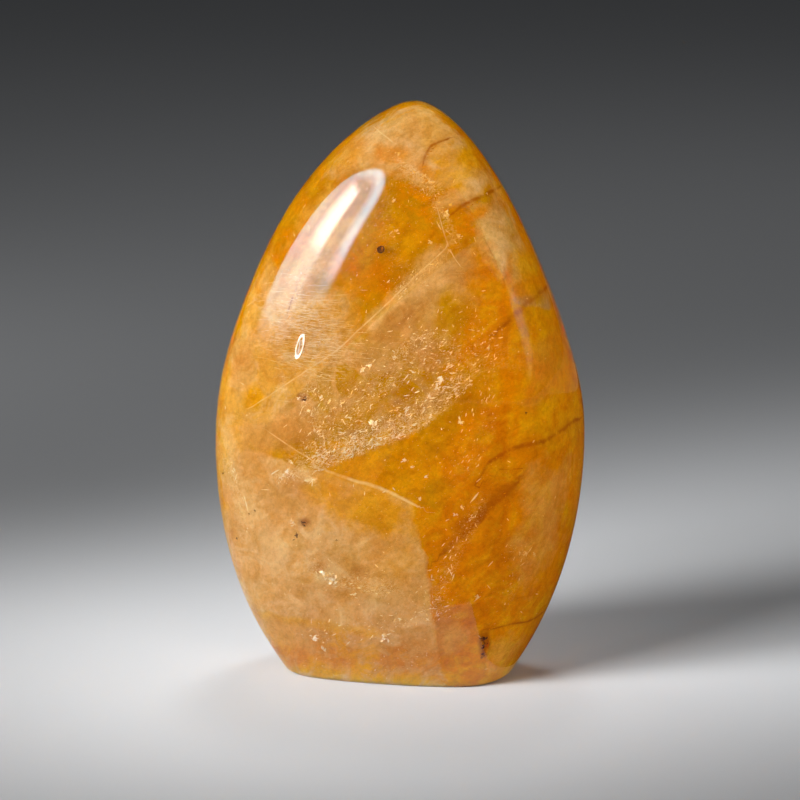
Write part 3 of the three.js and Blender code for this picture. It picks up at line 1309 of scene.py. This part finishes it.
class QUARTZ_OT_specks(bpy.types.Operator):
    """The dark mineral specks, the little dark ring and the bright ring, a painted glint"""

    bl_idname = "quartz.specks"
    bl_label = "Specks and rings"

    def execute(self, context):
        chance = random.Random(3)
        shapes = [flake_shape(seed) for seed in (40, 41, 42)]
        places = []
        for place, depth, size in SPECKS:
            places += bunch(chance, place, depth, size, 9)
        material = speck_material()
        seal_in(join_copies("specks", shapes, places), material)
        seal_in(small_ring(chance, "mineral_ring", *MINERAL_RING), material)
        seal_in(small_ring(chance, "air_ring", *GLINT_RING), glint_material())
        return {"FINISHED"}


# ---------------------------------------------------------------- stage


def direction(turn, rise):
    """The way out from the stone to something at a bearing and an elevation in degrees."""
    turn, rise = math.radians(turn), math.radians(rise)
    level = Vector((math.sin(turn), -math.cos(turn), 0))
    return level * math.cos(rise) + UP * math.sin(rise)


# Soft lamps: name, bearing and elevation in degrees, distance, width and height in
# millimetres, power in watts, the spread of the beam in degrees and what it is aimed at.
LAMPS = (
    ("key", -42, 27, 500, 370, 215, 0.105, 35, (54, 59, 30)),
    ("key_middle", -48, 25, 500, 200, 200, 0.187, 35, (54, 59, 30)),
    ("key_core", -30, 27, 560, 150, 150, 0.075, 32, (54, 59, 30)),
    ("pool", 180, 65, 600, 150, 150, 0.038, 28, (-60, 0, 0)),
    ("fill", 35, 22, 700, 500, 400, 0.137, 50, (0, 0, 70)),
    ("left", -120, 40, 700, 300, 300, 0.512, 180, (0, 0, 0)),
    ("backdrop", -60, 60, 1200, 300, 300, 0.304, 120, (0, 900, 0)),
    ("backdrop_right", 40, 60, 1200, 300, 300, 0.077, 60, (300, 900, 0)),
)
SIDE_LAMP = ("side", 85, 16, 600, 240, 260, 0.26, 35, (10, 0, 75))

# The face of the key lamp as the polish mirrors it: its bearing, elevation and distance
# from the upper part of the stone, its slope, and its reach up, down and to each side of
# its middle in millimetres. Its top is cut off level.
MIRRORED_FACE = (-42, 24, 500, 64, 126, 260, 139)
MIRRORED_AIM = (0, 0, 110)
# Its light comes in from nothing at the first of these to all of it at the second, in
# millimetres along the face, aside on it, or straight up.
FACE_BANDS = {
    "core_right": (-64, -52),
    "core_left": (45, -20),
    "core_top": (108, 92),
    "core_foot": (-70, -15),
    "core_tail": (-190, -140),
    "right": (80, -80),
    "rim_foot": (-150, 20),
    "soft_foot": (20, -150),
    "level_foot": (-280, -90),
    "slant_foot": (-205, -145),
}
# How strong it is, what its right side loses, and what its right rim and core gain.
FACE_LIGHT, RIGHT_LOSS, RIM_GAIN, CORE_GAIN = 8.4, 3.2, 10.5, 14.0
FACE_COLOUR, CORE_COLOUR = (0.34, 0.72, 0.95), (0.9, 0.97, 1.0)
FACE_ASIDE = 10 * MM  # how far aside the middle of its outline lies
FACE_SLANT = 0.65  # how steeply the end of its foot runs, aside for 1 along
FACE_MARGINS = (1.4, 1.1)  # the panel's size along and aside, for 1 of the outline's

# Dark cloths on the floor, out of the camera's sight: where each reaches from and to, in
# metres to the right and back.
CLOTHS = (
    ("cloth_front", (-0.05, -1.5), (1.5, -0.05)),
    ("cloth_right", (0.03, -0.05), (1.5, 0.6)),
)

# The floor, in metres, lies a hair under the stone and reaches far behind it.
FLOOR_SIZE, FLOOR_MIDDLE = 8, (0, 2.0, -0.05 * MM)
FLOOR_COLOUR, CLOTH_COLOUR = (0.60, 0.61, 0.625), (0.02, 0.02, 0.02)
SKY_COLOUR, SKY_LIGHT = (0.95, 0.97, 1.0), 0.048
CAMERA_AIM = (0.5, -2.3, 67.4)  # in millimetres


def rectangle(name, width, depth, middle):
    bpy.ops.mesh.primitive_plane_add(size=1, location=middle)
    piece = bpy.context.object
    piece.name = name
    for vertex in piece.data.vertices:
        vertex.co.x *= width
        vertex.co.y *= depth
    return piece


def softbox(name, turn, rise, distance, width, height, power, spread, aim):
    target = Vector(aim) * MM
    place = target + direction(turn, rise) * distance * MM
    bpy.ops.object.light_add(type="AREA", location=place)
    lamp = bpy.context.object
    lamp.name = name
    lamp.data.shape = "RECTANGLE"
    lamp.data.size = width * MM
    lamp.data.size_y = height * MM
    lamp.data.energy = power
    lamp.data.spread = math.radians(spread)
    lamp.rotation_euler = (target - place).to_track_quat("-Z", "Y").to_euler()
    lamp.visible_camera = False
    lamp.visible_glossy = False
    return lamp


def face_edge(tree, aside, along, level, up_reach, down_reach, side_reach):
    """How far out a place is in the rounded outline of the mirrored face: 1 at its edge."""
    upper = calculate(tree, "DIVIDE", level, up_reach)
    lower = calculate(tree, "DIVIDE", along, -down_reach)
    aside = calculate(tree, "SUBTRACT", aside, FACE_ASIDE)
    width = calculate(tree, "DIVIDE", aside, side_reach)
    edge = 0.0
    for share in (calculate(tree, "MAXIMUM", upper, lower), calculate(tree, "ABSOLUTE", width)):
        share = calculate(tree, "POWER", calculate(tree, "MAXIMUM", share, 0.0), 4.0)
        edge = calculate(tree, "ADD", edge, share)
    return calculate(tree, "POWER", edge, 0.25)


def mirrored_face_material(reaches, slope):
    """Light from an oval panel: brightest at its core, and fading towards its foot."""
    material = bpy.data.materials.new("mirrored_face")
    material.use_nodes = True
    tree = material.node_tree
    tree.nodes.clear()
    output = tree.nodes.new("ShaderNodeOutputMaterial")
    emission = tree.nodes.new("ShaderNodeEmission")
    tree.links.new(emission.outputs["Emission"], output.inputs["Surface"])
    parts = tree.nodes.new("ShaderNodeSeparateXYZ")
    tree.links.new(own_place(tree), parts.inputs["Vector"])
    along, aside = parts.outputs["X"], parts.outputs["Y"]

    def band(name, value):
        low, high = FACE_BANDS[name]
        return mask(tree, value, low * MM, high * MM)

    level = product(tree, along, math.sin(slope))
    level = calculate(tree, "MULTIPLY_ADD", aside, math.cos(slope), level)
    slant = calculate(tree, "MULTIPLY_ADD", along, FACE_SLANT, aside)
    edge = face_edge(tree, aside, along, level, *reaches)
    tail = product(tree, band("core_tail", along), 0.3)
    length = calculate(tree, "MAXIMUM", band("core_foot", along), tail)
    core = product(
        tree, band("core_right", aside), band("core_left", aside), band("core_top", along), length
    )
    right = band("right", aside)
    rim = product(tree, mask(tree, edge, 0.76, 0.90), right, band("rim_foot", along))
    light = calculate(tree, "MULTIPLY_ADD", right, -RIGHT_LOSS, FACE_LIGHT)
    light = calculate(tree, "MULTIPLY_ADD", rim, RIM_GAIN, light)
    light = calculate(tree, "MULTIPLY_ADD", core, CORE_GAIN, light)
    crisp, soft = mask(tree, edge, 1.04, 0.97), mask(tree, edge, 1.08, 0.80)
    softer = calculate(tree, "SUBTRACT", soft, crisp)
    outline = calculate(tree, "MULTIPLY_ADD", softer, band("soft_foot", along), crisp)
    light = product(tree, light, outline, band("level_foot", level), band("slant_foot", slant))
    tree.links.new(light, emission.inputs["Strength"])
    tree.links.new(mix(tree, core, FACE_COLOUR, CORE_COLOUR), emission.inputs["Color"])
    material.cycles.emission_sampling = "NONE"
    return material


def only_in_reflections(piece):
    piece.visible_camera = False
    piece.visible_diffuse = False
    piece.visible_transmission = False
    piece.visible_volume_scatter = False
    piece.visible_shadow = False


def mirrored_face():
    """The face of the key lamp, for the polish alone."""
    turn, rise, distance, slope, *reaches = MIRRORED_FACE
    reaches = [reach * MM for reach in reaches]
    sizes = [2 * reach * margin for reach, margin in zip(reaches[1:], FACE_MARGINS)]
    slope = math.radians(slope)
    way = direction(turn, rise)
    face = rectangle("mirrored_face", *sizes, Vector(MIRRORED_AIM) * MM + way * distance * MM)
    facing = way.to_track_quat("Z", "Y").to_matrix()
    face.rotation_euler = (facing @ Matrix.Rotation(slope, 3, "Z")).to_euler()
    face.data.materials.append(mirrored_face_material(reaches, slope))
    only_in_reflections(face)


def dark_cloths():
    """Cloths that keep the bright floor out of the reflections, for the polish alone."""
    material, tree = new_material("dark_cloth")
    set_finish(tree, CLOTH_COLOUR, 0.9)
    for name, (left, near), (right, far) in CLOTHS:
        middle = ((left + right) / 2, (near + far) / 2, MM)
        cloth = rectangle(name, right - left, far - near, middle)
        cloth.data.materials.append(material)
        only_in_reflections(cloth)


def lay_floor():
    floor = rectangle("floor", FLOOR_SIZE, FLOOR_SIZE, FLOOR_MIDDLE)
    material, tree = new_material("floor_paper")
    set_finish(tree, FLOOR_COLOUR, 1.0, gloss=0.0)
    floor.data.materials.append(material)
    return floor


def dim_sky():
    """A faint even light from all sides, which the polish doesn't mirror."""
    world = bpy.data.worlds.new("studio")
    world.use_nodes = True
    sky = world.node_tree.nodes["Background"]
    feed(world.node_tree, sky.inputs["Color"], SKY_COLOUR)
    sky.inputs["Strength"].default_value = SKY_LIGHT
    world.cycles_visibility.glossy = False
    bpy.context.scene.world = world


def light_stone_alone(lamp, floor):
    stone_alone = bpy.data.collections.new("stone_alone")
    for piece in bpy.context.scene.objects:
        if piece.type == "MESH" and piece is not floor:
            stone_alone.objects.link(piece)
    lamp.light_linking.receiver_collection = stone_alone


def place_camera():
    values = settings().stage
    camera = bpy.data.cameras.new("camera")
    camera.angle = values.camera_angle
    camera.clip_start = 10 * MM
    holder = bpy.data.objects.new("camera", camera)
    bpy.context.scene.collection.objects.link(holder)
    way = direction(math.degrees(VIEW_TURN), math.degrees(values.camera_rise))
    holder.location = Vector(CAMERA_AIM) * MM + way * values.camera_distance
    holder.rotation_euler = (-way).to_track_quat("-Z", "Y").to_euler()
    bpy.context.scene.camera = holder


class QUARTZ_OT_stage(bpy.types.Operator):
    """The floor, the lamps and the camera"""

    bl_idname = "quartz.stage"
    bl_label = "Stage"

    def execute(self, context):
        floor = lay_floor()
        dim_sky()
        for lamp in LAMPS:
            softbox(*lamp)
        light_stone_alone(softbox(*SIDE_LAMP), floor)
        mirrored_face()
        dark_cloths()
        place_camera()
        context.scene.view_settings.view_transform = "Standard"
        return {"FINISHED"}


class QUARTZ_PT_panel(bpy.types.Panel):
    """The steps that build the freeform, in order"""

    bl_idname = "QUARTZ_PT_panel"
    bl_label = "Quartz freeform"
    bl_space_type = "VIEW_3D"
    bl_region_type = "UI"
    bl_category = "Quartz"

    def draw(self, context):
        for step in STEPS:
            self.layout.operator(step.bl_idname)


STEPS = (
    QUARTZ_OT_stone,
    QUARTZ_OT_clouds,
    QUARTZ_OT_veils,
    QUARTZ_OT_flakes,
    QUARTZ_OT_rust,
    QUARTZ_OT_silk,
    QUARTZ_OT_specks,
    QUARTZ_OT_stage,
)
CLASSES = (QuartzSettings, CloudSettings, StageSettings, FreeformSettings, *STEPS, QUARTZ_PT_panel)


def register():
    for one in CLASSES:
        bpy.utils.register_class(one)
    bpy.types.Scene.freeform = PointerProperty(type=FreeformSettings)


def unregister():
    del bpy.types.Scene.freeform
    for one in reversed(CLASSES):
        bpy.utils.unregister_class(one)


def run_step(step):
    family, name = step.bl_idname.split(".")
    getattr(getattr(bpy.ops, family), name)()


def main():
    register()
    for step in STEPS:
        run_step(step)


if __name__ == "__main__":
    main()
